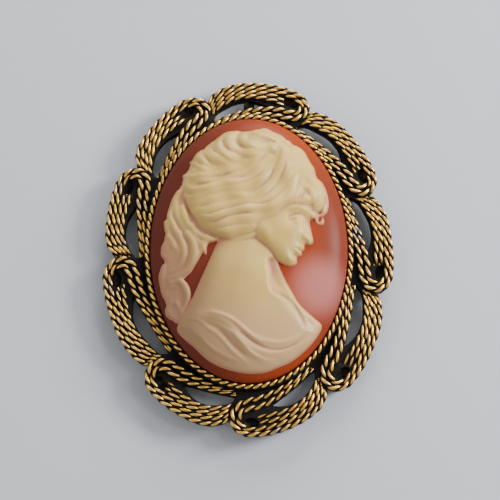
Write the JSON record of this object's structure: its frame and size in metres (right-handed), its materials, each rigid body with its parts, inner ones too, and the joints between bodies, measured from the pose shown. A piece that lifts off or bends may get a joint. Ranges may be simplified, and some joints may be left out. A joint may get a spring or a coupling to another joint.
{
  "type": "cameo brooch",
  "caption": "Oval cameo brooch: cream profile relief on an orange dome in an antique-gold border of pierced twisted-wire scallops, pin behind.",
  "frame": {"origin": "under the middle of the back rim, on the surface that the brooch lies on", "axes": "+X to the right of the face, the way the figure looks; +Y up the face; +Z out of the face"},
  "size_m": [0.0441, 0.0554, 0.0119],
  "materials": {
    "frame_metal": "antique gold, dark in the grooves",
    "orange_resin": "gloss",
    "cream_resin": "gloss",
    "pin_metal": "satin"
  },
  "bodies": {
    "root": {"frame": "frame_metal", "cameo_ground": "orange_resin", "cameo_figure": "cream_resin", "pin": "pin_metal"}
  },
  "joints": []
}
